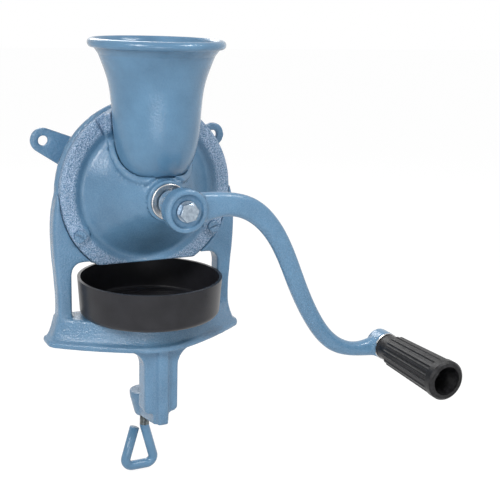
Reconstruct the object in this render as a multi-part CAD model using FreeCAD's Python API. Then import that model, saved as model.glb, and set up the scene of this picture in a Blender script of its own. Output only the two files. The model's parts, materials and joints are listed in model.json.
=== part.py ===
import FreeCAD, Part
import math
import os

# Hand crank coffee grinder for a table edge or a wall.
# Millimetres. X to the right, Y to the rear, Z up.
# The origin is on the underside of the base, on the axis of the clamp screw.

Vector = FreeCAD.Vector

# Fits and gaps
running_clearance = 0.05
thread_clearance = 0.1
seam_gap = 0.4
face_gap = 0.3

# Grinding chamber and front cover
shaft_height = 120.0
cover_radius = 70.5
cover_rim = 6.5
cover_flat_drop = 57.3
rim_edge = 1.5
boss_radius = 15.8
boss_reach = 49.5
boss_band = 4.5
# Groove and cone as radius and reach in front of the body joint, from rim to boss
cone_stations = (
    (58.0, 6.5),
    (56.6, 5.7),
    (54.4, 4.4),
    (52.0, 4.4),
    (49.3, 6.4),
    (42.0, 13.5),
    (32.0, 25.0),
    (24.5, 34.0),
    (19.0, 41.5),
    (16.4, 44.4),
)
feed_bore = 14.3
feed_tube_wall = 4.2
pocket_radius = 34.0
cone_wall = 5.0
burr_seat_depth = 3.5
burr_radius = 45.0
burr_side_gap = 1.0
cover_screw_circle = 64.5
cover_screw_angle = 30.0
cover_screw_radius = 2.5
cover_screw_depth = 6.0
cover_head_radius = 4.8
cover_head_height = 2.6
cover_pad_radius = 8.6
cover_pad_height = 0.8
cover_pad_sink = 3.0
slot_width = 1.3
slot_depth = 1.1
slot_angle_left = 35.0
slot_angle_right = -20.0
notch_width = 8.0
notch_height = 16.0
notch_depth = 3.0
collar_wall = 5.0
collar_height = 5.5

# Rear of the body
flange_radius = 72.0
chamber_radius = 58.0
chamber_depth_radius = 54.0
flange_depth = 7.0
drum_radius = 65.0
drum_rear_radius = 57.0
drum_wall = 5.0
drum_rear = 38.0
web_front = 16.0
web_thickness = 6.0
hub_radius = 17.0
hub_front = 13.6
hub_rear = 29.5
ear_spread = 72.3
ear_rise = 36.5
ear_radius = 10.0
ear_thickness = 5.0
ear_root_angle = 14.0
ear_hole = 4.1

# Columns, base shelf and clamp post
column_outer = 73.0
column_bulge = 3.0
column_foot = 0.5
column_waist = 25.0
column_shoulder = 30.0
window_corner = 9.0
window_lift = 3.5
outlet_half_width = 32.0
outlet_rear_wall = 1.5
column_width = 11.0
column_front = -6.0
column_depth = 15.0
column_edge = 2.5
base_half_width = 82.0
base_rear = 10.5
# Each half of the front of the base is an arc from the nose to the corner
base_nose = -53.5
base_arc_x = 43.0
base_arc_front = -34.0
base_corner_front = -7.0
base_nose_round = 45.0
base_corner = 11.0
base_height = 22.0
lip_height = 5.2
lip_edge = 2.2
band_inset = 8.6
band_foot = 3.0
band_foot_inset = 2.4
band_waist = 11.5
band_waist_inset = 5.9
skirt_wall = 5.0
room_corner = 3.0
shelf_thickness = 5.0
post_half_width = 14.0
post_flare = 16.0
post_corner = 3.0
post_front = -40.0
post_thickness = 16.0
post_drop = 55.0
rib_half_width = 4.5
rib_depth = 4.5
rib_drop = 64.0
arm_half_width = 6.5
clamp_boss_radius = 12.5
clamp_boss_tip = 8.0
clamp_boss_top = -49.5
clamp_boss_bottom = -71.0
clamp_boss_band = 4.0
clamp_arm_sink = 2.0
middle_web_half_width = 14.0
middle_web_sink = 1.0

# Hopper
hopper_setback = -24.0
hopper_tube = 33.5
hopper_wall = 3.2
lip_radius = 51.5
lip_rise = 118.0
lip_bead = 7.0
# Outside of the hopper as radius and height above the shaft, from the bottom of the bowl to the lip
hopper_stations = (
    (0.0, 9.2),
    (11.0, 11.0),
    (20.5, 16.8),
    (27.2, 26.0),
    (31.0, 37.5),
    (32.8, 49.5),
    (hopper_tube, 60.0),
    (34.8, 76.0),
    (38.2, 92.0),
    (43.4, 106.0),
    (48.0, 112.5),
)
hopper_screw_radius = 2.5
hopper_screw_spread = 12.0
hopper_screw_rise = 62.0
hopper_head_radius = 4.2
hopper_head_height = 2.6
window_half_width = 8.0
window_length = 24.0

# Shaft line
shaft_radius = 7.0
shaft_end_gap = 0.7
shaft_rear = 18.0
bush_radius = 11.0
bush_length = 8.0
washer_radius = 14.0
washer_thickness = 3.2
feed_core = 9.5
feed_flight = 13.8
feed_front = -30.0
feed_rear = 2.0
feed_pitch = 13.0
feed_flight_thickness = 3.0
spring_radius = 10.0
spring_wire = 0.9
spring_turns = 3
burr_thickness = 6.0
burr_gap = 0.8
burr_hub_radius = 14.0
burr_hub_length = 2.6
burr_tooth_count = 20
burr_tooth_width = 2.4
burr_tooth_depth = 1.2
burr_tooth_inner = 20.0
burr_eye = 15.0
burr_screw_count = 3
burr_screw_angle = 75.0
burr_screw_circle = 38.0
burr_screw_radius = 2.0
burr_screw_grip = 6.0
burr_head_radius = 3.8
burr_head_depth = 2.4
pin_radius = 1.6
ball_radius = 3.0
ball_gap = 0.02
adjuster_radius = 6.0
adjuster_head_radius = 10.0
adjuster_head = 3.4
adjuster_flutes = 18
adjuster_flute_radius = 0.9
lock_nut_flats = 18.0
lock_nut_height = 3.0
hexagon_angle = 12.0
adjust_close = 0.5
adjust_open = 1.0
stroke_clearance = 0.2

# Crank
crank_hub_rear_radius = 10.0
crank_hub_radius = 16.3
crank_hub_front = -89.0
crank_hub_rim = 12.0
crank_hub_neck = 9.0
crank_hub_flare = 3.0
crank_hub_flare_length = 5.5
crank_recess = 12.2
crank_recess_depth = 3.0
crank_bolt_radius = 4.0
crank_bolt_flats = 12.7
crank_bolt_head = 5.4
crank_bolt_length = 24.0
crank_bolt_crown = 6.0
crank_bolt_crown_base = 15.3
crank_washer_radius = 7.8
crank_washer_thickness = 1.6
key_width = 4.0
key_length = 16.0
key_in_shaft = 2.0
key_in_hub = 1.5
arm_thickness = 9.6
arm_lip_gap = 0.4
arm_edge = 4.2
crank_hub_edge = 1.8
eye_x = 178.0
eye_drop = 125.0
eye_radius = 11.4
eye_length = 14.0
# Middle line of the arm as X, height above the shaft and width, from hub to eye
arm_stations = (
    (0.0, 0.5, 27.0),
    (18.0, 1.6, 21.5),
    (32.0, 2.3, 18.4),
    (52.0, -2.5, 17.8),
    (73.5, -22.0, 16.0),
    (93.5, -61.5, 14.8),
    (111.0, -95.5, 13.8),
    (134.0, -120.0, 12.8),
    (154.0, -126.0, 12.0),
    (167.0, -125.8, 15.5),
    (eye_x, -eye_drop, 21.0),
)

# Grip
grip_washer_radius = 11.2
grip_washer_thickness = 1.5
grip_length = 80.0
grip_neck_radius = 10.5
grip_neck_length = 11.0
grip_start_radius = 13.0
grip_end_radius = 15.0
grip_collar_radius = 15.5
grip_collar_length = 7.0
grip_flutes = 18
grip_flute_radius = 1.5
grip_hollow_radius = 11.2
grip_hollow_depth = 24.0
grip_bolt_radius = 4.0
grip_bolt_head_radius = 7.0
grip_bolt_head = 5.0
grip_hex_socket = 6.0

# Tray
tray_setback = -12.0
tray_radius = 57.5
tray_foot_radius = 55.5
tray_height = 30.5
tray_wall = 2.4
tray_floor = 2.6
tray_edge = 5.0
tray_step_radius = 44.0
tray_step_height = 1.6
tray_rest_gap = 0.1

# Clamp screw
rod_radius = 4.0
rod_top = -12.0
pad_radius = 8.5
pad_thickness = 6.0
pad_pin_radius = 2.4
pad_pin_length = 3.5
loop_start = -82.0
loop_bottom = -117.0
loop_right = 9.5
loop_left = -18.5
loop_bend = 6.0
loop_end_height = -82.5
loop_end_offset = -8.8

# Places that follow from the sizes above
cover_front = -cover_rim
hopper_back = cover_front - face_gap
feed_tube = feed_bore + feed_tube_wall
burr_front = -burr_seat_depth
moving_burr_front = burr_front + burr_thickness + burr_gap
moving_burr_rear = moving_burr_front + burr_thickness
bush_front = -boss_reach
washer_front = bush_front - washer_thickness
crank_hub_rear = washer_front - adjust_open - stroke_clearance
web_rear = web_front + web_thickness
ear_height = shaft_height + ear_rise
flat_height = shaft_height - cover_flat_drop
adjuster_front = shaft_rear + 2.0 * (ball_radius + ball_gap)
adjuster_head_front = hub_rear + lock_nut_height + adjust_close + stroke_clearance
recess_floor = crank_hub_front + crank_recess_depth
shaft_front = recess_floor + shaft_end_gap
eye_z = shaft_height - eye_drop
lip_front = hopper_setback - lip_radius
arm_plane = lip_front - adjust_open - arm_lip_gap - arm_thickness / 2.0
eye_front = arm_plane - eye_length / 2.0
grip_start = eye_front - grip_washer_thickness - face_gap
grip_end = grip_start - grip_length
grip_hollow_floor = grip_end + grip_hollow_depth
tray_bottom = base_height + tray_rest_gap
tray_rim = tray_bottom + tray_height
lip_top = shaft_height + lip_rise
hopper_step = shaft_height + flange_radius + seam_gap
feed_pin_depth = feed_front + feed_pitch / 4
burr_pin_depth = moving_burr_rear + burr_hub_length / 2 - pin_radius / 4


def along_y(radius, front, rear, x=0.0, z=shaft_height):
    """Round bar along Y between two depths."""
    return Part.makeCylinder(radius, rear - front, Vector(x, front, z), Vector(0, 1, 0))


def along_z(radius, low, high, x=0.0, y=0.0):
    """Round bar along Z between two heights."""
    return Part.makeCylinder(radius, high - low, Vector(x, y, low))


def block(x0, x1, y0, y1, z0, z1):
    """Box between two corners."""
    return Part.makeBox(x1 - x0, y1 - y0, z1 - z0, Vector(x0, y0, z0))


def polygon_face(points):
    """Flat face inside a closed run of points."""
    return Part.Face(Part.makePolygon(list(points) + [points[0]]))


def turned(profile, x=0.0, z=shaft_height):
    """Solid turned round an axis along Y, from (radius, depth) corners."""
    face = polygon_face([Vector(x + radius, depth, z) for radius, depth in profile])
    return face.revolve(Vector(x, 0, z), Vector(0, 1, 0), 360)


def hexagon_bar(flats, front, rear, x=0.0, z=shaft_height):
    """Hexagonal bar along Y."""
    corner = flats / math.sqrt(3.0)
    points = []
    for index in range(6):
        angle = math.radians(60.0 * index + hexagon_angle)
        points.append(Vector(x + corner * math.cos(angle), front, z + corner * math.sin(angle)))
    return polygon_face(points).extrude(Vector(0, rear - front, 0))


def spline(points):
    """Smooth edge through points."""
    curve = Part.BSplineCurve()
    curve.interpolate(points)
    return curve.toShape()


def fuse_all(shapes):
    """One solid from touching shapes."""
    joined = shapes[0].multiFuse(shapes[1:])
    return joined.removeSplitter()


def group(shapes):
    """Separate solids kept in one file."""
    return Part.makeCompound(shapes)


def mirrored(shape):
    """Copy on the other side of the middle plane."""
    return shape.mirror(Vector(0, 0, 0), Vector(1, 0, 0))


def on_circle(radius, degrees):
    """Point on a circle round the shaft, as X and Z."""
    angle = math.radians(degrees)
    return radius * math.cos(angle), shaft_height + radius * math.sin(angle)


def cover_screw_places():
    """Centres of the two cover screws."""
    right = on_circle(cover_screw_circle, -cover_screw_angle)
    left = on_circle(cover_screw_circle, 180 + cover_screw_angle)
    return [right, left]


def burr_screw_places():
    """Centres of the burr screws, below and beside the hopper."""
    places = []
    for index in range(burr_screw_count):
        places.append(on_circle(burr_screw_circle, -90.0 + (index - 1) * burr_screw_angle))
    return places


def hopper_screw_places():
    """Centres of the screws through the flat back of the hopper."""
    height = shaft_height + hopper_screw_rise
    return [(-hopper_screw_spread, height), (hopper_screw_spread, height)]


# Hopper
def at_hopper(radius, height):
    """Point on the half section of the hopper."""
    return Vector(radius, hopper_setback, height)


def hopper_form(offset, lip):
    """Filled form of the hopper, moved out by an offset and closed by the given lip edges."""
    last = len(hopper_stations) - 1
    line = []
    for index, (radius, rise) in enumerate(hopper_stations):
        before = hopper_stations[max(index - 1, 0)]
        after = hopper_stations[min(index + 1, last)]
        run = Vector(after[0] - before[0], 0, after[1] - before[1])
        if index == 0:
            run = Vector(1, 0, 0)
        outward = Vector(run.z, 0, -run.x).normalize()
        line.append(at_hopper(radius, shaft_height + rise) + outward * offset)
    side = Part.BSplineCurve()
    side.interpolate(line, InitialTangent=Vector(1, 0, 0), FinalTangent=line[-1] - line[-2])
    top = at_hopper(0, lip_top)
    edges = [side.toShape(), Part.LineSegment(line[-1], lip[0].Vertexes[0].Point).toShape()]
    edges.extend(lip)
    edges.append(Part.LineSegment(lip[-1].Vertexes[-1].Point, top).toShape())
    edges.append(Part.LineSegment(top, line[0]).toShape())
    face = Part.Face(Part.Wire(edges))
    return face.revolve(at_hopper(0, 0), Vector(0, 0, 1), 360)


def hopper_solid(grow):
    """Filled outer form of the hopper with its rolled lip, grown outwards for a clearance."""
    bead = lip_bead / 2.0
    inner = lip_radius - bead
    low = at_hopper(inner + bead / 2, lip_top - bead - bead * math.sqrt(0.75))
    rolled = Part.Arc(low, at_hopper(lip_radius, lip_top - bead), at_hopper(inner, lip_top))
    return hopper_form(grow, [rolled.toShape()])


def hopper_space():
    """The room inside the hopper."""
    mouth = lip_radius - lip_bead / 2.0
    throat = at_hopper(mouth - hopper_wall / 2, lip_top - hopper_wall / 2)
    turn_in = Part.LineSegment(throat, at_hopper(mouth, lip_top))
    return hopper_form(-hopper_wall, [turn_in.toShape()])


def behind_hopper(back, top):
    """Everything behind the flat back of the hopper, up to the top of the chamber."""
    reach = lip_radius + flange_radius
    return block(-reach, reach, back, back + reach, 0, top)


def make_hopper():
    """Funnel with a flat back, standing on the feed tube inside the cover."""
    outer = hopper_solid(0.0).cut(behind_hopper(hopper_back, hopper_step))
    inner = hopper_space().cut(behind_hopper(hopper_back - hopper_wall, hopper_step + hopper_wall))
    shell = outer.cut(inner)
    shell = shell.cut(along_y(feed_tube + seam_gap, washer_front - seam_gap, 0.0))
    for x, z in hopper_screw_places():
        hole = along_y(hopper_screw_radius + thread_clearance, hopper_back - 2 * hopper_wall, 0.0, x, z)
        shell = shell.cut(hole)
    return shell


def make_hopper_screws():
    """Screws from inside the hopper into the cover rim."""
    screws = []
    head_rear = hopper_back - hopper_wall
    for x, z in hopper_screw_places():
        head = along_y(hopper_head_radius, head_rear - hopper_head_height, head_rear, x, z)
        slot = block(x - hopper_head_radius, x + hopper_head_radius, head_rear - hopper_head_height,
                     head_rear - hopper_head_height + slot_depth, z - slot_width / 2, z + slot_width / 2)
        shank = along_y(hopper_screw_radius, head_rear, -face_gap, x, z)
        screws.append(head.cut(slot).fuse(shank).removeSplitter())
    return group(screws)


def cover_blank():
    """Round cover with its cone, feed tube, burr seat and bush bore, before it is trimmed."""
    recess = burr_radius + burr_side_gap
    cone = [Vector(radius, -reach, shaft_height) for radius, reach in cone_stations]
    (wide, shallow), (narrow, deep) = cone_stations[-5], cone_stations[-3]
    slope = (deep - shallow) / (wide - narrow)
    wall_depth = cone_wall * math.hypot(1.0, slope)
    pocket_shallow = -shallow - (wide - pocket_radius) * slope + wall_depth
    pocket_deep = -shallow - (wide - feed_tube) * slope + wall_depth
    rim = [
        (recess, 0.0),
        (cover_radius, 0.0),
        (cover_radius, cover_front + rim_edge),
        (cover_radius - rim_edge, cover_front),
    ]
    bore = [
        (boss_radius, -boss_reach + boss_band),
        (boss_radius, -boss_reach),
        (bush_radius, -boss_reach),
        (bush_radius, -boss_reach + bush_length),
        (feed_bore, -boss_reach + bush_length),
        (feed_bore, burr_front),
        (feed_tube, burr_front),
        (feed_tube, pocket_deep),
        (pocket_radius, pocket_shallow),
        (pocket_radius, burr_front),
        (recess, burr_front),
        (recess, 0.0),
    ]
    outside_points = [Vector(radius, depth, shaft_height) for radius, depth in rim]
    bore_points = [Vector(radius, depth, shaft_height) for radius, depth in bore]
    edges = Part.makePolygon(outside_points + [cone[0]]).Edges
    edges.append(spline(cone))
    edges.extend(Part.makePolygon([cone[-1]] + bore_points).Edges)
    face = Part.Face(Part.Wire(edges))
    return face.revolve(Vector(0, 0, shaft_height), Vector(0, 1, 0), 360)


def cone_form():
    """Filled form behind the front of the cover."""
    cone = [Vector(radius, -reach, shaft_height) for radius, reach in cone_stations]
    tip = Vector(0, cone[-1].y, shaft_height)
    rear = Vector(0, 0, shaft_height)
    edge = Vector(cover_radius, 0, shaft_height)
    rim = Vector(cover_radius, cone[0].y, shaft_height)
    edges = [spline(cone)]
    edges.extend(Part.makePolygon([cone[-1], tip, rear, edge, rim, cone[0]]).Edges)
    face = Part.Face(Part.Wire(edges))
    return face.revolve(Vector(0, 0, shaft_height), Vector(0, 1, 0), 360)


def hopper_collar():
    """Raised saddle of the cover that follows its cone round the hopper bowl."""
    raised = cone_form()
    raised.translate(Vector(0, -collar_height, 0))
    upper_half = block(-cover_radius, cover_radius, -boss_reach + boss_band, cover_front + cover_pad_sink,
                       shaft_height, shaft_height + cover_radius)
    sleeve = hopper_solid(seam_gap + collar_wall).common(upper_half)
    return sleeve.common(raised).cut(along_y(feed_tube, -boss_reach, 0.0))


def rim_notch():
    """Shallow wedge cut in the face of the cover rim beside the hopper."""
    inner = hopper_tube
    tip = inner + notch_width
    tip_height = shaft_height + math.sqrt(cover_radius ** 2 - tip ** 2)
    points = [
        Vector(inner - notch_width / 4, cover_front - cover_rim, tip_height + notch_height),
        Vector(tip, cover_front - cover_rim, tip_height),
        Vector(tip, cover_front - cover_rim, tip_height - rim_edge),
        Vector(inner, cover_front - cover_rim, tip_height - notch_height),
    ]
    return polygon_face(points).extrude(Vector(0, cover_rim + notch_depth, 0))


def make_front_cover():
    """Cover with its cone, shaft boss and feed tube, open for the hopper."""
    notch = rim_notch()
    solid = cover_blank().cut(notch).cut(mirrored(notch))
    pads = [hopper_collar()]
    for x, z in cover_screw_places():
        pad = along_y(cover_pad_radius, cover_front - cover_pad_height, cover_front + cover_pad_sink, x, z)
        pads.append(pad.common(along_y(cover_radius, cover_front - cover_pad_height, 0.0)))
    solid = fuse_all([solid] + pads)
    reach = 2 * cover_radius
    below_flat = block(-reach, reach, -reach, reach, flat_height - reach, flat_height)
    solid = solid.cut(below_flat)
    feed_pipe = along_y(feed_tube, -boss_reach, 0.0)
    hopper_room = hopper_solid(seam_gap).cut(behind_hopper(hopper_back + face_gap / 2, hopper_step))
    solid = solid.cut(hopper_room.cut(feed_pipe))
    window = block(-window_half_width, window_half_width, hopper_setback - window_length / 2,
                   hopper_setback + window_length / 2, shaft_height, shaft_height + 2 * feed_tube)
    solid = solid.cut(window)
    for x, z in cover_screw_places():
        hole = along_y(cover_screw_radius + thread_clearance, -2 * boss_reach, 0.0, x, z)
        solid = solid.cut(hole)
    for x, z in hopper_screw_places():
        solid = solid.cut(along_y(hopper_screw_radius, hopper_back, 0.0, x, z))
    for x, z in burr_screw_places():
        solid = solid.cut(along_y(burr_screw_radius, burr_front - burr_screw_grip, burr_front, x, z))
    return solid


def make_cover_screws():
    """Slotted screws at the lower left and right of the cover rim."""
    screws = []
    seat = cover_front - cover_pad_height
    for x, z in cover_screw_places():
        head = along_y(cover_head_radius, seat - cover_head_height, seat, x, z)
        slot = block(x - cover_head_radius, x + cover_head_radius, seat - cover_head_height,
                     seat - cover_head_height + slot_depth, z - slot_width / 2, z + slot_width / 2)
        turn = slot_angle_left if x < 0 else slot_angle_right
        slot.rotate(Vector(x, seat, z), Vector(0, 1, 0), turn)
        shank = along_y(cover_screw_radius, seat, cover_screw_depth, x, z)
        screws.append(head.cut(slot).fuse(shank).removeSplitter())
    return group(screws)


# Body casting
def drum():
    """Rear chamber with flange, recessed web and bearing hub, open at the bottom."""
    solid = turned([
        (flange_radius - rim_edge, 0.0),
        (flange_radius, rim_edge),
        (flange_radius, flange_depth),
        (drum_radius, flange_depth + flange_radius - drum_radius),
        (drum_rear_radius, drum_rear),
        (drum_rear_radius - drum_wall, drum_rear),
        (drum_rear_radius - drum_wall, web_rear),
        (hub_radius, web_rear),
        (hub_radius, hub_rear),
        (0.0, hub_rear),
        (0.0, hub_front),
        (hub_radius, hub_front),
        (hub_radius, web_front),
        (chamber_depth_radius, web_front),
        (chamber_radius, 0.0),
    ])
    reach = 2 * flange_radius
    return solid.cut(block(-reach, reach, -reach, reach, flat_height - reach, flat_height))


def ear():
    """Lug at the upper right with its screw hole."""
    front = drum_rear - ear_thickness
    tip = along_y(ear_radius, front, drum_rear, ear_spread, ear_height)
    angle = math.atan2(ear_rise, ear_spread)
    root = drum_rear_radius - drum_wall / 2.0
    spread = math.radians(ear_root_angle)
    inner_top = (root * math.cos(angle + spread), shaft_height + root * math.sin(angle + spread))
    inner_low = (root * math.cos(angle - spread), shaft_height + root * math.sin(angle - spread))
    normal = (-math.sin(angle) * ear_radius, math.cos(angle) * ear_radius)
    corners = [
        Vector(inner_top[0], front, inner_top[1]),
        Vector(ear_spread + normal[0], front, ear_height + normal[1]),
        Vector(ear_spread - normal[0], front, ear_height - normal[1]),
        Vector(inner_low[0], front, inner_low[1]),
    ]
    neck = polygon_face(corners).extrude(Vector(0, ear_thickness, 0))
    return tip.fuse(neck)


def column_frame():
    """Two columns and the corners that join them to the flange, as one plate with a window."""
    low = base_height - shelf_thickness
    top = shaft_height
    outer = [
        (column_outer + column_foot, low),
        (column_outer, low + column_waist),
        (column_outer + column_bulge, top - column_shoulder),
        (flange_radius, top),
    ]
    right = [Vector(x, column_front, z) for x, z in outer]
    left = [Vector(-x, column_front, z) for x, z in outer]
    edges = [
        spline(right),
        Part.LineSegment(right[-1], left[-1]).toShape(),
        spline(left[::-1]),
        Part.LineSegment(left[0], right[0]).toShape(),
    ]
    plate = Part.Face(Part.Wire(edges)).extrude(Vector(0, column_depth, 0))
    sides = [edge for edge in plate.Edges if edge.BoundBox.ZLength > top / 2]
    plate = plate.makeFillet(column_edge, sides)
    half = column_outer - column_width
    window = block(-half, half, column_front, column_front + column_depth, -low, flat_height + window_lift)
    corners = [edge for edge in window.Edges
               if edge.BoundBox.YLength > column_depth / 2 and edge.BoundBox.ZMin > low]
    window = window.makeFillet(window_corner, corners)
    chamber = along_y(chamber_radius, column_front, column_front + column_depth)
    return plate.cut(window).cut(chamber)


def base_slab(inset, height, rear_wall=0.0):
    """Slab of the base, set in along the front and sides, and at the rear by the rear wall alone."""
    rear = base_rear + inset - rear_wall
    nose = Vector(0, base_nose, 0)
    right = Vector(base_half_width, base_corner_front, 0)
    left = Vector(-base_half_width, base_corner_front, 0)
    rear_right = Vector(base_half_width, rear, 0)
    rear_left = Vector(-base_half_width, rear, 0)
    outline = Part.Wire([
        Part.Arc(left, Vector(-base_arc_x, base_arc_front, 0), nose).toShape(),
        Part.Arc(nose, Vector(base_arc_x, base_arc_front, 0), right).toShape(),
        Part.LineSegment(right, rear_right).toShape(),
        Part.LineSegment(rear_right, rear_left).toShape(),
        Part.LineSegment(rear_left, left).toShape(),
    ])
    if inset > 0:
        outline = outline.makeOffset2D(-inset)
    slab = Part.Face(outline).extrude(Vector(0, 0, height))
    upright = [edge for edge in slab.Edges if edge.BoundBox.ZLength > height / 2]
    nose_edges = [edge for edge in upright if abs(edge.BoundBox.XMin) < base_corner]
    slab = slab.makeFillet(base_nose_round - inset, nose_edges)
    upright = [edge for edge in slab.Edges if edge.BoundBox.ZLength > height / 2]
    corner_edges = [edge for edge in upright
                    if abs(edge.BoundBox.XMin) > base_half_width / 2 and edge.BoundBox.YMax < base_rear / 2]
    return slab.makeFillet(max(base_corner - inset, room_corner), corner_edges)


def base_section(inset, height):
    """Outline of the base at one height."""
    slab = base_slab(inset, height)
    top = [face for face in slab.Faces if face.BoundBox.ZMin > height / 2]
    return top[0].OuterWire


def base_shelf():
    """Hollow shelf with a flared band and a rolled lower lip."""
    lip = base_slab(0.0, lip_height)
    top_edges = [edge for edge in lip.Edges
                 if edge.BoundBox.ZMin > lip_height / 2 and edge.BoundBox.YMin < base_rear / 2]
    lip = lip.makeFillet(lip_edge, top_edges)
    sections = [
        base_section(band_foot_inset, band_foot),
        base_section(band_waist_inset, band_waist),
        base_section(band_inset, base_height),
    ]
    band = Part.makeLoft(sections, True)
    room = base_slab(band_inset + skirt_wall, base_height - shelf_thickness, skirt_wall)
    web = block(-middle_web_half_width, middle_web_half_width, post_front, base_rear - middle_web_sink,
                0.0, base_height - middle_web_sink)
    return fuse_all([lip.fuse(band).cut(room), web])


def clamp_post():
    """Post with its front rib, lower arm and threaded boss."""
    wide = post_half_width + post_flare
    near = post_half_width + post_flare * (1.0 - math.sqrt(0.5))
    near_drop = post_flare * (1.0 - math.sqrt(0.5))
    narrow = post_half_width - post_corner

    def at(x, z):
        return Vector(x, post_front, z)

    edges = [Part.Arc(at(-wide, 0), at(-near, -near_drop), at(-post_half_width, -post_flare)).toShape()]
    edges.extend(Part.makePolygon([
        at(-post_half_width, -post_flare),
        at(-post_half_width, -post_drop + post_corner),
        at(-narrow, -post_drop),
        at(narrow, -post_drop),
        at(post_half_width, -post_drop + post_corner),
        at(post_half_width, -post_flare),
    ]).Edges)
    edges.append(Part.Arc(at(post_half_width, -post_flare), at(near, -near_drop), at(wide, 0)).toShape())
    edges.extend(Part.makePolygon([
        at(wide, 0), at(wide, lip_height / 2), at(-wide, lip_height / 2), at(-wide, 0),
    ]).Edges)
    post = Part.Face(Part.Wire(edges)).extrude(Vector(0, post_thickness, 0))
    rib_front = post_front - rib_depth
    rib_rear = post_front + rib_depth
    rib = block(-rib_half_width, rib_half_width, rib_front, rib_rear, -rib_drop, lip_height / 2)
    arm_top = clamp_boss_top - clamp_arm_sink
    arm_low = clamp_boss_bottom + clamp_arm_sink
    side = [
        (post_front, arm_top),
        (0.0, arm_top),
        (0.0, arm_low),
        (-clamp_boss_radius, arm_low),
        (post_front, -rib_drop),
    ]
    side_face = polygon_face([Vector(-arm_half_width, y, z) for y, z in side])
    arm = side_face.extrude(Vector(2 * arm_half_width, 0, 0))
    cone_top = clamp_boss_top - clamp_boss_band
    boss_head = along_z(clamp_boss_radius, cone_top, clamp_boss_top)
    boss = Part.makeCone(clamp_boss_tip, clamp_boss_radius, cone_top - clamp_boss_bottom,
                         Vector(0, 0, clamp_boss_bottom))
    return [post, rib, arm, boss_head, boss]


def make_body_casting():
    """Chamber, ears, columns, base, clamp post and boss as one casting."""
    right_ear = ear()
    solid = fuse_all([drum(), right_ear, mirrored(right_ear), column_frame(), base_shelf()] + clamp_post())
    solid = solid.cut(along_y(cover_radius + seam_gap, -2 * cover_rim, 0.0))
    outlet = block(-outlet_half_width, outlet_half_width, 0.0, web_front - outlet_rear_wall,
                   flat_height, shaft_height - burr_radius)
    solid = solid.cut(outlet)
    for x in (-ear_spread, ear_spread):
        solid = solid.cut(along_y(ear_hole, 0.0, drum_rear, x, ear_height))
    for x, z in cover_screw_places():
        hole = along_y(cover_screw_radius, 0.0, flange_depth + flange_radius - drum_radius, x, z)
        solid = solid.cut(hole)
    solid = solid.cut(along_y(bush_radius, hub_front, hub_front + bush_length))
    solid = solid.cut(along_y(adjuster_radius + thread_clearance, hub_front, hub_rear))
    return solid.cut(along_z(rod_radius + thread_clearance, clamp_boss_bottom, clamp_boss_top))


# Shaft line
def bush(front):
    """Plain bearing bush."""
    body = along_y(bush_radius, front, front + bush_length)
    return body.cut(along_y(shaft_radius + running_clearance, front, front + bush_length))


def make_thrust_washer():
    """Bare steel ring on the front of the boss."""
    ring = along_y(washer_radius, washer_front, bush_front)
    ring = ring.makeFillet(washer_thickness / 4, [ring.Edges[0], ring.Edges[2]])
    return ring.cut(along_y(shaft_radius + face_gap, washer_front, bush_front))


def cross_pin(depth, length):
    """Pin through the shaft, along X."""
    return Part.makeCylinder(pin_radius, length, Vector(-length / 2, depth, shaft_height), Vector(1, 0, 0))


def make_drive_pins():
    """Cross pins for the feed screw and the moving burr."""
    return group([cross_pin(feed_pin_depth, 2 * feed_core), cross_pin(burr_pin_depth, 2 * burr_hub_radius)])


def key_bar():
    """Key between shaft and crank hub."""
    front = shaft_front + key_in_shaft
    low = shaft_height + shaft_radius - key_in_shaft
    high = low + key_in_shaft + key_in_hub
    return block(-key_width / 2, key_width / 2, front, front + key_length, low, high)


def make_drive_shaft():
    """Shaft with a key seat, two pin holes and a threaded front end."""
    solid = along_y(shaft_radius, shaft_front, shaft_rear)
    solid = solid.cut(key_bar())
    solid = solid.cut(cross_pin(feed_pin_depth, 4 * shaft_radius))
    solid = solid.cut(cross_pin(burr_pin_depth, 4 * shaft_radius))
    return solid.cut(along_y(crank_bolt_radius, shaft_front, recess_floor + crank_bolt_length))


def helix_sweep(section, pitch, height, radius, front):
    """Solid that a section makes along a left-hand helix round the shaft, starting at a depth."""
    helix = Part.makeHelix(pitch, height, radius, 0, True)
    sweep = Part.Wire(helix.Edges).makePipeShell([section], True, True)
    sweep.rotate(Vector(0, 0, 0), Vector(1, 0, 0), -90)
    sweep.translate(Vector(0, front, shaft_height))
    return sweep


def make_feed_screw():
    """Sleeve with one helical flight."""
    sleeve = along_y(feed_core, feed_front, feed_rear)
    half = feed_flight_thickness / 2
    root = feed_core - half
    section = Part.makePolygon([
        Vector(root, 0, -half), Vector(feed_flight, 0, -half / 2), Vector(feed_flight, 0, half / 2),
        Vector(root, 0, half), Vector(root, 0, -half),
    ])
    flight_length = feed_rear - feed_front - 2 * feed_flight_thickness
    flight = helix_sweep(section, feed_pitch, flight_length, root, feed_front + feed_flight_thickness)
    solid = fuse_all([sleeve, flight])
    solid = solid.cut(along_y(shaft_radius, feed_front, feed_rear))
    return solid.cut(cross_pin(feed_pin_depth, 2 * feed_core))


def half_turn(start, middle, axis):
    """Half a turn of spring wire from a point beside the shaft."""
    section = Part.Face(Part.Wire(Part.makeCircle(spring_wire, start, Vector(0, 0, 1))))
    return section.revolve(middle, axis, 180)


def make_pressure_spring():
    """Coil spring between the front bush and the feed screw, each turn a flat half and a rising half."""
    front = bush_front + bush_length
    room = feed_front - front - 2 * spring_wire - adjust_close - stroke_clearance
    rise = Vector(0, room / spring_turns, 0)
    halves = []
    for turn in range(spring_turns):
        middle = Vector(0, front + spring_wire, shaft_height) + rise * turn
        right = middle + Vector(spring_radius, 0, 0)
        left = middle - Vector(spring_radius, 0, 0)
        slope = right + rise - left
        halves.append(half_turn(right, middle, Vector(0, 1, 0)))
        halves.append(half_turn(left, middle + rise / 2, Vector(0, 0, 1).cross(slope)))
    return fuse_all(halves)


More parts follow.
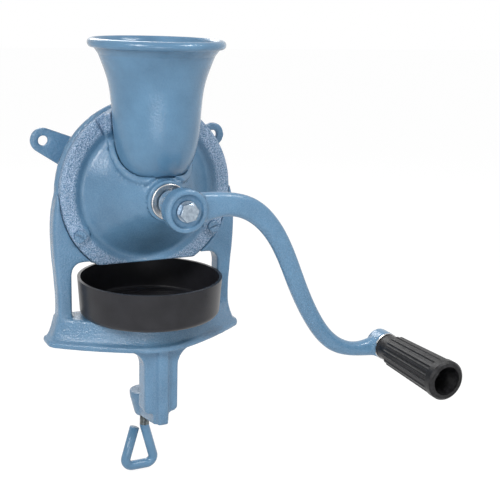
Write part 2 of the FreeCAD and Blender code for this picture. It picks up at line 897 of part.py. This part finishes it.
def tooth_cuts(face, inward):
    """Radial grooves in a burr face."""
    cuts = []
    depth_a = min(face, face + inward * burr_tooth_depth)
    for index in range(burr_tooth_count):
        groove = block(burr_tooth_inner, 2 * burr_radius, depth_a, depth_a + burr_tooth_depth,
                       shaft_height - burr_tooth_width / 2, shaft_height + burr_tooth_width / 2)
        turn = 360.0 * (index + 0.5) / burr_tooth_count
        groove.rotate(Vector(0, 0, shaft_height), Vector(0, 1, 0), turn)
        cuts.append(groove)
    return group(cuts)


def make_fixed_burr():
    """Toothed ring screwed into the cover."""
    rear = burr_front + burr_thickness
    solid = along_y(burr_radius, burr_front, rear).cut(along_y(burr_eye, burr_front, rear))
    solid = solid.cut(tooth_cuts(rear, -1))
    for x, z in burr_screw_places():
        solid = solid.cut(along_y(burr_screw_radius, burr_front, rear, x, z))
        solid = solid.cut(along_y(burr_head_radius, rear - burr_head_depth, rear, x, z))
    return solid


def make_burr_screws():
    """Screws sunk in the fixed burr."""
    rear = burr_front + burr_thickness
    head_top = rear - burr_tooth_depth
    screws = []
    for x, z in burr_screw_places():
        head = along_y(burr_head_radius - running_clearance, rear - burr_head_depth, head_top, x, z)
        tip = burr_front - burr_screw_grip + face_gap
        shank = along_y(burr_screw_radius, tip, rear - burr_head_depth, x, z)
        screws.append(head.fuse(shank).removeSplitter())
    return group(screws)


def make_moving_burr():
    """Toothed plate pinned to the shaft."""
    hub_end = moving_burr_rear + burr_hub_length
    plate = along_y(burr_radius, moving_burr_front, moving_burr_rear)
    solid = fuse_all([plate, along_y(burr_hub_radius, moving_burr_front, hub_end)])
    solid = solid.cut(tooth_cuts(moving_burr_front, 1))
    solid = solid.cut(along_y(shaft_radius, moving_burr_front, hub_end))
    return solid.cut(cross_pin(burr_pin_depth, 2 * burr_hub_radius))


def make_thrust_ball():
    """Ball between the adjuster and the shaft end."""
    return Part.makeSphere(ball_radius, Vector(0, shaft_rear + ball_gap + ball_radius, shaft_height))


def make_adjusting_screw():
    """Screw with a fluted head behind the chamber."""
    head_rear = adjuster_head_front + adjuster_head
    stem = along_y(adjuster_radius, adjuster_front, adjuster_head_front)
    head = along_y(adjuster_head_radius, adjuster_head_front, head_rear)
    flutes = []
    for index in range(adjuster_flutes):
        x, z = on_circle(adjuster_head_radius, 360.0 * index / adjuster_flutes)
        flutes.append(along_y(adjuster_flute_radius, adjuster_head_front, head_rear, x, z))
    return stem.fuse(head.cut(group(flutes))).removeSplitter()


def make_lock_nut():
    """Thin hexagon nut on the adjuster."""
    nut = hexagon_bar(lock_nut_flats, hub_rear, hub_rear + lock_nut_height)
    return nut.cut(along_y(adjuster_radius + thread_clearance, hub_rear, hub_rear + lock_nut_height))


# Crank
def arm_outline():
    """Flat outline of the arm, from its middle line and widths."""
    upper = []
    lower = []
    last = len(arm_stations) - 1
    for index, (x, rise, width) in enumerate(arm_stations):
        before = arm_stations[max(index - 1, 0)]
        after = arm_stations[min(index + 1, last)]
        run = Vector(after[0] - before[0], 0, after[1] - before[1])
        side = Vector(-run.z, 0, run.x).normalize()
        middle = Vector(x, arm_plane - arm_thickness / 2, shaft_height + rise)
        upper.append(middle + side * (width / 2))
        lower.append(middle - side * (width / 2))
    edges = [
        spline(upper),
        Part.LineSegment(upper[-1], lower[-1]).toShape(),
        spline(lower[::-1]),
        Part.LineSegment(lower[0], upper[0]).toShape(),
    ]
    return Part.Face(Part.Wire(edges))


def make_crank_arm():
    """Flared hub, S-shaped arm and eye."""
    arm = arm_outline().extrude(Vector(0, arm_thickness, 0))
    long_edges = [edge for edge in arm.Edges if edge.BoundBox.XLength > eye_x / 2]
    arm = arm.makeFillet(arm_edge, long_edges)
    hub = turned([
        (0.0, crank_hub_rear),
        (crank_hub_rear_radius, crank_hub_rear),
        (crank_hub_rear_radius, crank_hub_rear - crank_hub_neck),
        (crank_hub_rear_radius + crank_hub_flare, crank_hub_front + crank_hub_rim + crank_hub_flare_length),
        (crank_hub_radius, crank_hub_front + crank_hub_rim),
        (crank_hub_radius, crank_hub_front),
        (0.0, crank_hub_front),
    ])
    rim_edges = [edge for edge in hub.Edges
                 if edge.BoundBox.YMax < crank_hub_front + crank_hub_rim / 2
                 and edge.BoundBox.XLength > crank_hub_radius]
    hub = hub.makeFillet(crank_hub_edge, rim_edges)
    eye = along_y(eye_radius, eye_front, eye_front + eye_length, eye_x, eye_z)
    solid = fuse_all([arm, hub, eye])
    solid = solid.cut(along_y(crank_recess, crank_hub_front, recess_floor))
    solid = solid.cut(along_y(shaft_radius, crank_hub_front, crank_hub_rear))
    solid = solid.cut(key_bar())
    return solid.cut(along_y(grip_bolt_radius, eye_front, eye_front + eye_length, eye_x, eye_z))


def make_crank_washer():
    """Plain washer on the recess floor."""
    front = recess_floor - crank_washer_thickness
    ring = along_y(crank_washer_radius, front, recess_floor)
    return ring.cut(along_y(crank_bolt_radius, front, recess_floor))


def make_crank_bolt():
    """Hexagon bolt in the end of the shaft."""
    seat = recess_floor - crank_washer_thickness
    head = hexagon_bar(crank_bolt_flats, seat - crank_bolt_head, seat)
    crown = Part.makeCone(crank_bolt_crown, crank_bolt_crown_base, crank_bolt_head,
                          Vector(0, seat - crank_bolt_head, shaft_height), Vector(0, 1, 0))
    head = head.common(crown)
    shank = along_y(crank_bolt_radius, seat, recess_floor + crank_bolt_length)
    return head.fuse(shank).removeSplitter()


# Grip
def make_grip_washer():
    """Washer between eye and grip."""
    front = eye_front - grip_washer_thickness
    ring = along_y(grip_washer_radius, front, eye_front, eye_x, eye_z)
    return ring.cut(along_y(grip_bolt_radius, front, eye_front, eye_x, eye_z))


def make_grip():
    """Fluted handle with a plain neck, a plain end collar and a hollow end."""
    ribs_start = grip_start - grip_neck_length
    ribs_end = grip_end + grip_collar_length
    solid = turned([
        (0.0, grip_start),
        (grip_neck_radius, grip_start),
        (grip_neck_radius, ribs_start),
        (grip_start_radius, ribs_start - grip_flute_radius),
        (grip_end_radius, ribs_end),
        (grip_collar_radius, ribs_end),
        (grip_collar_radius, grip_end + grip_flute_radius),
        (grip_collar_radius - grip_flute_radius, grip_end),
        (0.0, grip_end),
    ], eye_x, eye_z)
    flutes = []
    lean = math.atan2(grip_end_radius - grip_start_radius, ribs_start - ribs_end)
    length = (ribs_start - ribs_end) / math.cos(lean)
    for index in range(grip_flutes):
        angle = 2 * math.pi * index / grip_flutes
        out = Vector(math.cos(angle), 0, math.sin(angle))
        start = Vector(eye_x, ribs_start, eye_z) + out * (grip_start_radius + grip_flute_radius / 3)
        direction = Vector(0, -math.cos(lean), 0) + out * math.sin(lean)
        flutes.append(Part.makeCylinder(grip_flute_radius, length, start, direction))
    solid = solid.cut(group(flutes))
    solid = solid.cut(along_y(grip_hollow_radius, grip_end, grip_hollow_floor, eye_x, eye_z))
    return solid.cut(along_y(grip_bolt_radius + running_clearance, grip_end, grip_start, eye_x, eye_z))


def make_grip_bolt():
    """Bolt through the grip, with its head in the hollow end."""
    head_rear = grip_hollow_floor - face_gap
    head_front = head_rear - grip_bolt_head
    head = along_y(grip_bolt_head_radius, head_front, head_rear, eye_x, eye_z)
    socket = hexagon_bar(grip_hex_socket, head_front, head_rear - grip_bolt_head / 2, eye_x, eye_z)
    shank = along_y(grip_bolt_radius, head_rear, eye_front + eye_length, eye_x, eye_z)
    return head.cut(socket).fuse(shank).removeSplitter()


# Tray
def make_tray():
    """Round dish with a stepped floor."""
    outer = Part.makeCone(tray_foot_radius, tray_radius, tray_height, Vector(0, tray_setback, tray_bottom))
    foot = [edge for edge in outer.Edges if edge.BoundBox.ZMax < tray_bottom + tray_height / 2]
    outer = outer.makeFillet(tray_edge, foot)
    inner_foot = tray_foot_radius - tray_wall
    inner = Part.makeCone(inner_foot, tray_radius - tray_wall, tray_height - tray_floor - tray_step_height,
                          Vector(0, tray_setback, tray_bottom + tray_floor + tray_step_height))
    inner_edge = [edge for edge in inner.Edges if edge.BoundBox.ZMax < tray_bottom + tray_height / 2]
    inner = inner.makeFillet(tray_edge - tray_wall, inner_edge)
    well = along_z(tray_step_radius, tray_bottom + tray_floor, tray_rim, 0.0, tray_setback)
    return outer.cut(inner).cut(well)


# Clamp screw
def make_clamp_pad():
    """Round pad that turns on the tip of the clamp screw."""
    pad = along_z(pad_radius, rod_top, rod_top + pad_thickness)
    pad = pad.makeFillet(pad_thickness / 5, [pad.Edges[0]])
    seat = pad_pin_radius + running_clearance
    return pad.cut(along_z(seat, rod_top, rod_top + pad_pin_length + face_gap))


def rounded_path(points, radius):
    """Straight runs joined by tangent arcs."""
    edges = []
    start = points[0]
    for index in range(1, len(points) - 1):
        corner = points[index]
        back = (points[index - 1] - corner).normalize()
        ahead = (points[index + 1] - corner).normalize()
        half_turn = back.getAngle(ahead) / 2
        trim = radius / math.tan(half_turn)
        first = corner + back * trim
        last = corner + ahead * trim
        inward = (back + ahead).normalize()
        middle = corner + inward * (radius / math.sin(half_turn) - radius)
        edges.append(Part.LineSegment(start, first).toShape())
        edges.append(Part.Arc(first, middle, last).toShape())
        start = last
    edges.append(Part.LineSegment(start, points[-1]).toShape())
    return Part.Wire(edges)


def make_clamp_screw():
    """Bent rod with a triangular loop for the fingers and a pin for the pad."""
    path = rounded_path([
        Vector(0, 0, rod_top - face_gap),
        Vector(0, 0, loop_start),
        Vector(loop_right, 0, loop_bottom),
        Vector(loop_left, 0, loop_bottom),
        Vector(loop_end_offset, 0, loop_end_height),
    ], loop_bend)
    section = Part.Wire(Part.makeCircle(rod_radius, Vector(0, 0, rod_top - face_gap), Vector(0, 0, 1)))
    rod = path.makePipeShell([section], True, False)
    pin = along_z(pad_pin_radius, rod_top - pad_pin_length, rod_top + pad_pin_length)
    return fuse_all([rod, pin])


pieces = {
    "body_casting": make_body_casting(),
    "front_cover": make_front_cover(),
    "hopper": make_hopper(),
    "cover_screws": make_cover_screws(),
    "hopper_screws": make_hopper_screws(),
    "front_bush": bush(bush_front),
    "rear_bush": bush(hub_front),
    "thrust_washer": make_thrust_washer(),
    "fixed_burr": make_fixed_burr(),
    "burr_screws": make_burr_screws(),
    "pressure_spring": make_pressure_spring(),
    "lock_nut": make_lock_nut(),
    "thrust_ball": make_thrust_ball(),
    "adjusting_screw": make_adjusting_screw(),
    "drive_shaft": make_drive_shaft(),
    "drive_pins": make_drive_pins(),
    "feed_screw": make_feed_screw(),
    "moving_burr": make_moving_burr(),
    "crank_key": key_bar(),
    "crank_arm": make_crank_arm(),
    "crank_washer": make_crank_washer(),
    "crank_bolt": make_crank_bolt(),
    "grip_washer": make_grip_washer(),
    "grip_bolt": make_grip_bolt(),
    "grip": make_grip(),
    "tray": make_tray(),
    "clamp_pad": make_clamp_pad(),
    "clamp_screw": make_clamp_screw(),
}

os.makedirs("parts", exist_ok=True)
for name, shape in pieces.items():
    shape.exportStep("parts/" + name + ".step")
    print(name, shape.isValid(), len(shape.Solids), round(shape.Volume, 1))
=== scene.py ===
import json
import math

import bpy
from mathutils import Matrix, Vector


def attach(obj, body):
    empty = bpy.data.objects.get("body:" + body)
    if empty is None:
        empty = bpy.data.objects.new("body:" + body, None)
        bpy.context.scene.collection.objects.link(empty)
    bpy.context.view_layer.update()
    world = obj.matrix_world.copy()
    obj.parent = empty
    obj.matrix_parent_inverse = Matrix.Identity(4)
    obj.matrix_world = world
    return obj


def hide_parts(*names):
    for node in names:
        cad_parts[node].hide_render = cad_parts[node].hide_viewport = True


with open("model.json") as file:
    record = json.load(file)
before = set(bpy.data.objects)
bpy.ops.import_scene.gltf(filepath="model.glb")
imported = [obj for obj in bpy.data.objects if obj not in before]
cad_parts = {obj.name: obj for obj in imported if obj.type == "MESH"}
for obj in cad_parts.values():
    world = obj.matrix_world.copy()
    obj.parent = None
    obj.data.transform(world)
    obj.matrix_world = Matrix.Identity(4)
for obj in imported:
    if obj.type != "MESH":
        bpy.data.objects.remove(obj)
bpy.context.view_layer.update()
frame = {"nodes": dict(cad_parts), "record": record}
nodes = frame["nodes"]

# Places shared with the solids, in metres
shaft_height = 0.120
rim_inner_radius = 0.0575
rim_outer_radius = 0.0605
rod_radius = 0.004
rod_top = -0.0125
loop_start = -0.082

# Thread of the clamp screw
thread_pitch = 0.00125
thread_depth = 0.0006
thread_overlap = 0.0015
thread_steps = 28
thread_merge = 0.00001
thread_crease = math.radians(30.0)
loop_crease = math.radians(40.0)

# Rounding of the castings
solid_merge = 0.000005
rounding_factor = 0.5

# Camera, as the photograph was taken
camera_place = Vector((-0.2668, -0.7299, 0.2722))
camera_turn = math.radians(-26.31)
camera_rise = math.radians(14.46)
camera_roll = math.radians(-1.77)
camera_lens = 71.5
camera_sensor = 36.0
camera_clip = 0.01

# Studio floor, just under the clamp loop
floor_height = -0.1215
floor_size = 12.0
floor_grey = (0.7, 0.7, 0.7, 1.0)
floor_roughness = 0.9
floor_glow = 1.14
floor_glow_share = 0.8

# Studio light: its level all round, and the points that the lamps are aimed at
world_level = 0.38
light_below = 0.25
light_above = 1.6
lowest_direction = -0.4
highest_direction = 1.0
front_middle = (0.0, -0.03, 0.12)
base_middle = (0.0, -0.03, 0.03)
back_middle = (0.0, 0.03, 0.12)

# Enamel colours, linear, and the scales of its drift, flecks and skin; the light flecks are partly the
# enamel's own lighter flakes and partly painted glints of light
paint_colour = (0.106, 0.236, 0.378, 1.0)
paint_dark = (0.074, 0.172, 0.285, 1.0)
# colour of the light flecks: partly the enamel's lighter flakes, partly painted glint highlights
glint_fleck_colour = (0.37, 0.48, 0.66, 1.0)
paint_drift_scale = 26.0
glint_fleck_scale = 1200.0
paint_skin_scale = 620.0
paint_skin_depth = 0.0010
paint_edge = 0.0008
paint_edge_samples = 6

# Plastic and metal skins
plastic_shine = 0.25
plastic_skin_scale = 1500.0
plastic_skin_strength = 0.25
metal_skin_strength = 0.3
metal_skin_depth = 0.0001

black = (0.0, 0.0, 0.0, 1.0)
white = (1.0, 1.0, 1.0, 1.0)


def add_camera():
    """Camera at the photograph's place, tilt and roll."""
    back = Vector((
        math.sin(camera_turn) * math.cos(camera_rise),
        -math.cos(camera_turn) * math.cos(camera_rise),
        math.sin(camera_rise),
    ))
    level_right = Vector((math.cos(camera_turn), math.sin(camera_turn), 0.0))
    level_up = back.cross(level_right)
    right = level_right * math.cos(camera_roll) - level_up * math.sin(camera_roll)
    up = level_right * math.sin(camera_roll) + level_up * math.cos(camera_roll)
    data = bpy.data.cameras.new("camera")
    data.lens = camera_lens
    data.sensor_width = camera_sensor
    data.clip_start = camera_clip
    camera = bpy.data.objects.new("camera", data)
    bpy.context.scene.collection.objects.link(camera)
    turn = Matrix((right, up, back)).transposed().to_4x4()
    camera.matrix_world = Matrix.Translation(camera_place) @ turn
    bpy.context.scene.camera = camera


def add_softbox(name, place, aim, width, height, power):
    """Rectangular studio light aimed at a point."""
    data = bpy.data.lights.new(name, "AREA")
    data.shape = "RECTANGLE"
    data.size = width
    data.size_y = height
    data.energy = power
    lamp = bpy.data.objects.new(name, data)
    bpy.context.scene.collection.objects.link(lamp)
    lamp.location = place
    direction = Vector(aim) - Vector(place)
    lamp.rotation_euler = direction.to_track_quat("-Z", "Y").to_euler()


def node_tree(name):
    """New material with its shader."""
    material = bpy.data.materials.new(name)
    material.use_nodes = True
    tree = material.node_tree
    return material, tree, tree.nodes["Principled BSDF"]


def link(tree, source, output, target, socket):
    """Joins two sockets by name."""
    tree.links.new(source.outputs[output], target.inputs[socket])


def noise(tree, coordinates, scale, detail=2.0, roughness=0.5):
    """Noise texture on the piece's own coordinates."""
    texture = tree.nodes.new("ShaderNodeTexNoise")
    texture.inputs["Scale"].default_value = scale
    texture.inputs["Detail"].default_value = detail
    texture.inputs["Roughness"].default_value = roughness
    link(tree, coordinates, "Object", texture, "Vector")
    return texture


def ramp(tree, source, low_colour, high_colour, low, high):
    """Colour ramp between two places of a noise's range."""
    colours = tree.nodes.new("ShaderNodeValToRGB")
    colours.color_ramp.elements[0].position = low
    colours.color_ramp.elements[0].color = low_colour
    colours.color_ramp.elements[1].position = high
    colours.color_ramp.elements[1].color = high_colour
    link(tree, source, "Fac", colours, "Fac")
    return colours


def arithmetic(tree, operation, first, second):
    """Math node whose inputs are sockets or plain numbers."""
    node = tree.nodes.new("ShaderNodeMath")
    node.operation = operation
    for place, value in enumerate((first, second)):
        if isinstance(value, (int, float)):
            node.inputs[place].default_value = value
        else:
            tree.links.new(value, node.inputs[place])
    return node.outputs["Value"]


def rim_mask(tree, coordinates):
    """One on the flat outer rim of the cover, nought nearer the shaft."""
    split = tree.nodes.new("ShaderNodeSeparateXYZ")
    link(tree, coordinates, "Object", split, "Vector")
    rise = arithmetic(tree, "SUBTRACT", split.outputs["Z"], shaft_height)
    across = arithmetic(tree, "MULTIPLY", split.outputs["X"], split.outputs["X"])
    upward = arithmetic(tree, "MULTIPLY", rise, rise)
    distance = arithmetic(tree, "SQRT", arithmetic(tree, "ADD", across, upward), 0.0)
    span = tree.nodes.new("ShaderNodeMapRange")
    span.inputs["From Min"].default_value = rim_inner_radius
    span.inputs["From Max"].default_value = rim_outer_radius
    tree.links.new(distance, span.inputs["Value"])
    return span.outputs["Result"]


def enamel(name, glint_fleck_share, bump_strength, roughness, rim_glint_fleck=0.0, rim_bump=0.0):
    """Blue hammered enamel: light flecks, partly its own lighter flakes and partly painted glints of
    light, slow colour drift and an orange-peel skin.
    """
    material, tree, shader = node_tree(name)
    coordinates = tree.nodes.new("ShaderNodeTexCoord")
    drift = noise(tree, coordinates, paint_drift_scale, detail=4.0, roughness=0.6)
    ground = ramp(tree, drift, paint_colour, paint_dark, low=0.34, high=0.70)
    # light flecks mixed into the colour: partly the enamel's flakes, partly painted glint highlights
    flecks = noise(tree, coordinates, glint_fleck_scale, roughness=0.6)
    glint_fleck_mask = ramp(tree, flecks, black, white, low=0.40, high=0.60)
    skin = noise(tree, coordinates, paint_skin_scale, roughness=0.6)
    share = glint_fleck_share
    strength = bump_strength
    # the cover's rim gets extra light flecks, painted glints of light there, along with a stronger
    # skin
    if rim_glint_fleck > 0.0:
        mask = rim_mask(tree, coordinates)
        share = arithmetic(tree, "ADD", arithmetic(tree, "MULTIPLY", mask, rim_glint_fleck), glint_fleck_share)
        strength = arithmetic(tree, "ADD", arithmetic(tree, "MULTIPLY", mask, rim_bump), bump_strength)
    factor = arithmetic(tree, "MULTIPLY", glint_fleck_mask.outputs["Color"], share)
    mix = tree.nodes.new("ShaderNodeMix")
    mix.data_type = "RGBA"
    tree.links.new(factor, mix.inputs["Factor"])
    tree.links.new(ground.outputs["Color"], mix.inputs["A"])
    mix.inputs["B"].default_value = glint_fleck_colour
    tree.links.new(mix.outputs["Result"], shader.inputs["Base Color"])
    shader.inputs["Roughness"].default_value = roughness
    bump = tree.nodes.new("ShaderNodeBump")
    bump.inputs["Distance"].default_value = paint_skin_depth
    height = arithmetic(tree, "MULTIPLY", skin.outputs["Fac"], strength)
    tree.links.new(height, bump.inputs["Height"])
    edge = tree.nodes.new("ShaderNodeBevel")
    edge.samples = paint_edge_samples
    edge.inputs["Radius"].default_value = paint_edge
    link(tree, edge, "Normal", bump, "Normal")
    link(tree, bump, "Normal", shader, "Normal")
    return material


def moulding(name, colour, roughness, wear=1.5, wear_scale=60.0, skin_depth=0.0002):
    """Satin moulded plastic with a fine skin, lighter where it is worn."""
    material, tree, shader = node_tree(name)
    coordinates = tree.nodes.new("ShaderNodeTexCoord")
    drift = noise(tree, coordinates, wear_scale, detail=4.0)
    lighter = tuple(value * wear for value in colour[:3]) + (1.0,)
    ground = ramp(tree, drift, colour, lighter, low=0.35, high=0.7)
    link(tree, ground, "Color", shader, "Base Color")
    shader.inputs["Roughness"].default_value = roughness
    shader.inputs["Specular IOR Level"].default_value = plastic_shine
    skin = noise(tree, coordinates, plastic_skin_scale)
    bump = tree.nodes.new("ShaderNodeBump")
    bump.inputs["Strength"].default_value = plastic_skin_strength
    bump.inputs["Distance"].default_value = skin_depth
    link(tree, skin, "Fac", bump, "Height")
    link(tree, bump, "Normal", shader, "Normal")
    return material


def metal(name, colour, dull_colour, roughness, grain):
    """Bare or plated metal with a fine grain."""
    material, tree, shader = node_tree(name)
    coordinates = tree.nodes.new("ShaderNodeTexCoord")
    drift = noise(tree, coordinates, grain, detail=4.0)
    ground = ramp(tree, drift, colour, dull_colour, low=0.35, high=0.7)
    link(tree, ground, "Color", shader, "Base Color")
    shader.inputs["Metallic"].default_value = 1.0
    shader.inputs["Roughness"].default_value = roughness
    bump = tree.nodes.new("ShaderNodeBump")
    bump.inputs["Strength"].default_value = metal_skin_strength
    bump.inputs["Distance"].default_value = metal_skin_depth
    link(tree, drift, "Fac", bump, "Height")
    link(tree, bump, "Normal", shader, "Normal")
    return material


def paint(mesh, material):
    """Gives a mesh one finish."""
    mesh.materials.clear()
    mesh.materials.append(material)


def copy_of_node(node, name):
    """Merged copy of a solid's mesh, alone in the selection."""
    bpy.ops.object.select_all(action="DESELECT")
    source = nodes[node]
    piece = source.copy()
    piece.data = source.data.copy()
    for key in list(piece.keys()):
        del piece[key]
    piece.parent = None
    piece.name = name
    bpy.context.scene.collection.objects.link(piece)
    piece.select_set(True)
    bpy.context.view_layer.objects.active = piece
    bpy.ops.object.mode_set(mode="EDIT")
    bpy.ops.mesh.select_all(action="SELECT")
    bpy.ops.mesh.remove_doubles(threshold=solid_merge)
    bpy.ops.object.mode_set(mode="OBJECT")
    return piece


def soft_casting(node, body, material, grain, rounds):
    """Copy of a solid with its edges and corners rounded as in sand casting."""
    piece = copy_of_node(node, node + "_casting")
    piece.data.remesh_voxel_size = grain
    piece.data.remesh_voxel_adaptivity = 0.0
    bpy.ops.object.voxel_remesh()
    smooth = piece.modifiers.new("rounding", "SMOOTH")
    smooth.factor = rounding_factor
    smooth.iterations = rounds
    bpy.ops.object.modifier_apply(modifier=smooth.name)
    bpy.ops.object.shade_smooth()
    paint(piece.data, material)
    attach(piece, body)
    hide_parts(node)


def clamp_loop(material):
    """Smooth lower part of the clamp screw, cut off above the bend."""
    piece = copy_of_node("clamp_screw", "clamp_loop")
    bpy.ops.object.mode_set(mode="EDIT")
    bpy.ops.mesh.select_all(action="SELECT")
    bpy.ops.mesh.bisect(
        plane_co=(0.0, 0.0, loop_start + thread_overlap), plane_no=(0.0, 0.0, 1.0),
        use_fill=True, clear_outer=True,
    )
    bpy.ops.object.mode_set(mode="OBJECT")
    bpy.ops.object.shade_smooth_by_angle(angle=loop_crease)
    paint(piece.data, material)
    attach(piece, "screw")
    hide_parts("clamp_screw")


def clamp_thread(material):
    """Threaded rod of the clamp screw, one turn of a ridge carried up the rod."""
    bpy.ops.object.select_all(action="DESELECT")
    bpy.ops.mesh.primitive_plane_add(size=thread_pitch)
    piece = bpy.context.object
    piece.name = "clamp_thread"
    root = rod_radius - thread_depth
    outward = (thread_depth, 0.0, thread_pitch / 2)
    inward = (-thread_depth, 0.0, thread_pitch / 2)
    bpy.ops.object.mode_set(mode="EDIT")
    bpy.ops.mesh.select_all(action="SELECT")
    bpy.ops.mesh.merge(type="CENTER")
    bpy.ops.transform.translate(value=(root, 0.0, loop_start))
    bpy.ops.mesh.extrude_region_move(TRANSFORM_OT_translate={"value": outward})
    bpy.ops.mesh.extrude_region_move(TRANSFORM_OT_translate={"value": inward})
    bpy.ops.object.mode_set(mode="OBJECT")
    screw = piece.modifiers.new("winding", "SCREW")
    screw.axis = "Z"
    screw.screw_offset = thread_pitch
    screw.iterations = int((rod_top - loop_start) / thread_pitch) - 1
    screw.steps = thread_steps
    screw.render_steps = thread_steps
    screw.use_merge_vertices = True
    screw.merge_threshold = thread_merge
    bpy.ops.object.modifier_apply(modifier=screw.name)
    bpy.ops.object.mode_set(mode="EDIT")
    bpy.ops.mesh.select_all(action="SELECT")
    bpy.ops.mesh.remove_doubles(threshold=thread_merge)
    bpy.ops.mesh.normals_make_consistent(inside=False)
    bpy.ops.object.mode_set(mode="OBJECT")
    bpy.ops.object.shade_smooth_by_angle(angle=thread_crease)
    paint(piece.data, material)
    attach(piece, "screw")


def plain_sight(tree):
    """One for camera, mirror and see-through rays, nought for light that falls on the object."""
    path = tree.nodes.new("ShaderNodeLightPath")
    seen = arithmetic(tree, "MAXIMUM", path.outputs["Is Camera Ray"], path.outputs["Is Glossy Ray"])
    return arithmetic(tree, "MAXIMUM", seen, path.outputs["Is Transmission Ray"])


def add_floor():
    """Pale floor that fades into the white background and keeps a soft shadow."""
    bpy.ops.object.select_all(action="DESELECT")
    bpy.ops.mesh.primitive_plane_add(size=floor_size, location=(0.0, 0.0, floor_height))
    floor = bpy.context.object
    floor.name = "studio_floor"
    bpy.ops.object.transform_apply(location=True, rotation=True, scale=True)
    material, tree, shader = node_tree("studio_floor")
    shader.inputs["Base Color"].default_value = floor_grey
    shader.inputs["Roughness"].default_value = floor_roughness
    glow = tree.nodes.new("ShaderNodeEmission")
    glow.inputs["Color"].default_value = white
    glow.inputs["Strength"].default_value = floor_glow
    share = arithmetic(tree, "MULTIPLY", plain_sight(tree), floor_glow_share)
    mix = tree.nodes.new("ShaderNodeMixShader")
    tree.links.new(share, mix.inputs["Fac"])
    tree.links.new(shader.outputs["BSDF"], mix.inputs[1])
    tree.links.new(glow.outputs["Emission"], mix.inputs[2])
    link(tree, mix, "Shader", tree.nodes["Material Output"], "Surface")
    paint(floor.data, material)


def add_world():
    """Studio light, stronger from above than from below, white to the camera and in reflections."""
    world = bpy.data.worlds.new("studio")
    bpy.context.scene.world = world
    world.use_nodes = True
    tree = world.node_tree
    background = tree.nodes["Background"]
    coordinates = tree.nodes.new("ShaderNodeTexCoord")
    split = tree.nodes.new("ShaderNodeSeparateXYZ")
    link(tree, coordinates, "Generated", split, "Vector")
    height = tree.nodes.new("ShaderNodeMapRange")
    height.inputs["From Min"].default_value = lowest_direction
    height.inputs["From Max"].default_value = highest_direction
    height.inputs["To Min"].default_value = light_below * world_level
    height.inputs["To Max"].default_value = light_above * world_level
    tree.links.new(split.outputs["Z"], height.inputs["Value"])
    background.inputs["Color"].default_value = white
    tree.links.new(height.outputs["Result"], background.inputs["Strength"])
    backdrop = tree.nodes.new("ShaderNodeBackground")
    backdrop.inputs["Color"].default_value = white
    backdrop.inputs["Strength"].default_value = 1.0
    mix = tree.nodes.new("ShaderNodeMixShader")
    tree.links.new(plain_sight(tree), mix.inputs["Fac"])
    tree.links.new(background.outputs["Background"], mix.inputs[1])
    tree.links.new(backdrop.outputs["Background"], mix.inputs[2])
    link(tree, mix, "Shader", tree.nodes["World Output"], "Surface")


# Studio
bpy.context.scene.view_settings.view_transform = "Standard"
add_camera()
add_world()
add_floor()
add_softbox("left_softbox", (-0.82, -0.66, 0.72), front_middle, width=0.36, height=0.36, power=7.6)
add_softbox("right_softbox", (0.50, -0.62, 0.88), front_middle, width=0.26, height=0.26, power=4.8)
add_softbox("front_softbox", (-0.35, -1.10, 0.05), base_middle, width=0.60, height=0.40, power=2.6)
add_softbox("rear_softbox", (0.10, 1.00, 0.75), back_middle, width=0.60, height=0.40, power=5.0)

# Finishes
# fleck shares: light flecks partly painted in as glints of light on the enamel
enamel_body = enamel("enamel_body", glint_fleck_share=0.13, bump_strength=0.5, roughness=0.17)
# cover: painted glint flecks, dense on the flat rim
enamel_cover = enamel("enamel_cover", glint_fleck_share=0.08, bump_strength=0.35, roughness=0.16,
                      rim_glint_fleck=0.85, rim_bump=1.2)
enamel_smooth = enamel("enamel_smooth", glint_fleck_share=0.03, bump_strength=0.25, roughness=0.16)
enamel_arm = enamel("enamel_arm", glint_fleck_share=0.12, bump_strength=0.30, roughness=0.15)
# screw heads: many light flecks, painted glints that brighten the heads
enamel_screw = enamel("enamel_screw", glint_fleck_share=0.30, bump_strength=1.1, roughness=0.12)
satin_black = moulding("black_moulding", (0.016, 0.016, 0.019, 1.0), roughness=0.34)
worn_black = moulding("worn_moulding", (0.004, 0.004, 0.0045, 1.0), roughness=0.36,
                      wear=5.0, wear_scale=420.0, skin_depth=0.0008)
steel = metal("turned_steel", (0.62, 0.62, 0.62, 1.0), (0.45, 0.45, 0.46, 1.0),
              roughness=0.25, grain=400.0)
dark_steel = metal("thread_steel", (0.20, 0.22, 0.22, 1.0), (0.10, 0.11, 0.11, 1.0),
                   roughness=0.4, grain=500.0)
zinc = metal("zinc_plate", (0.42, 0.50, 0.58, 1.0), (0.27, 0.33, 0.40, 1.0),
             roughness=0.26, grain=300.0)
bronze = metal("bearing_bronze", (0.55, 0.36, 0.15, 1.0), (0.40, 0.26, 0.12, 1.0),
               roughness=0.35, grain=300.0)
burr_iron = metal("burr_iron", (0.20, 0.20, 0.20, 1.0), (0.12, 0.12, 0.13, 1.0),
                  roughness=0.5, grain=250.0)

slot_finish = {
    "blue_paint": enamel_smooth,
    "steel": steel,
    "zinc": zinc,
    "bronze": bronze,
    "burr_iron": burr_iron,
    "black_plastic": satin_black,
}

# Solids in their finishes, and the pieces that take the place of four of them
for part in frame["record"]["subparts"]:
    paint(nodes[part["node"]].data, slot_finish[part["material_slot"]])
# screw heads take the enamel whose light flecks are painted glints
paint(nodes["cover_screws"].data, enamel_screw)
paint(nodes["grip"].data, worn_black)
soft_casting("body_casting", "frame", enamel_body, grain=0.0015, rounds=8)
soft_casting("front_cover", "frame", enamel_cover, grain=0.0012, rounds=6)
soft_casting("crank_arm", "crank", enamel_arm, grain=0.0008, rounds=26)
clamp_loop(enamel_smooth)
clamp_thread(dark_steel)
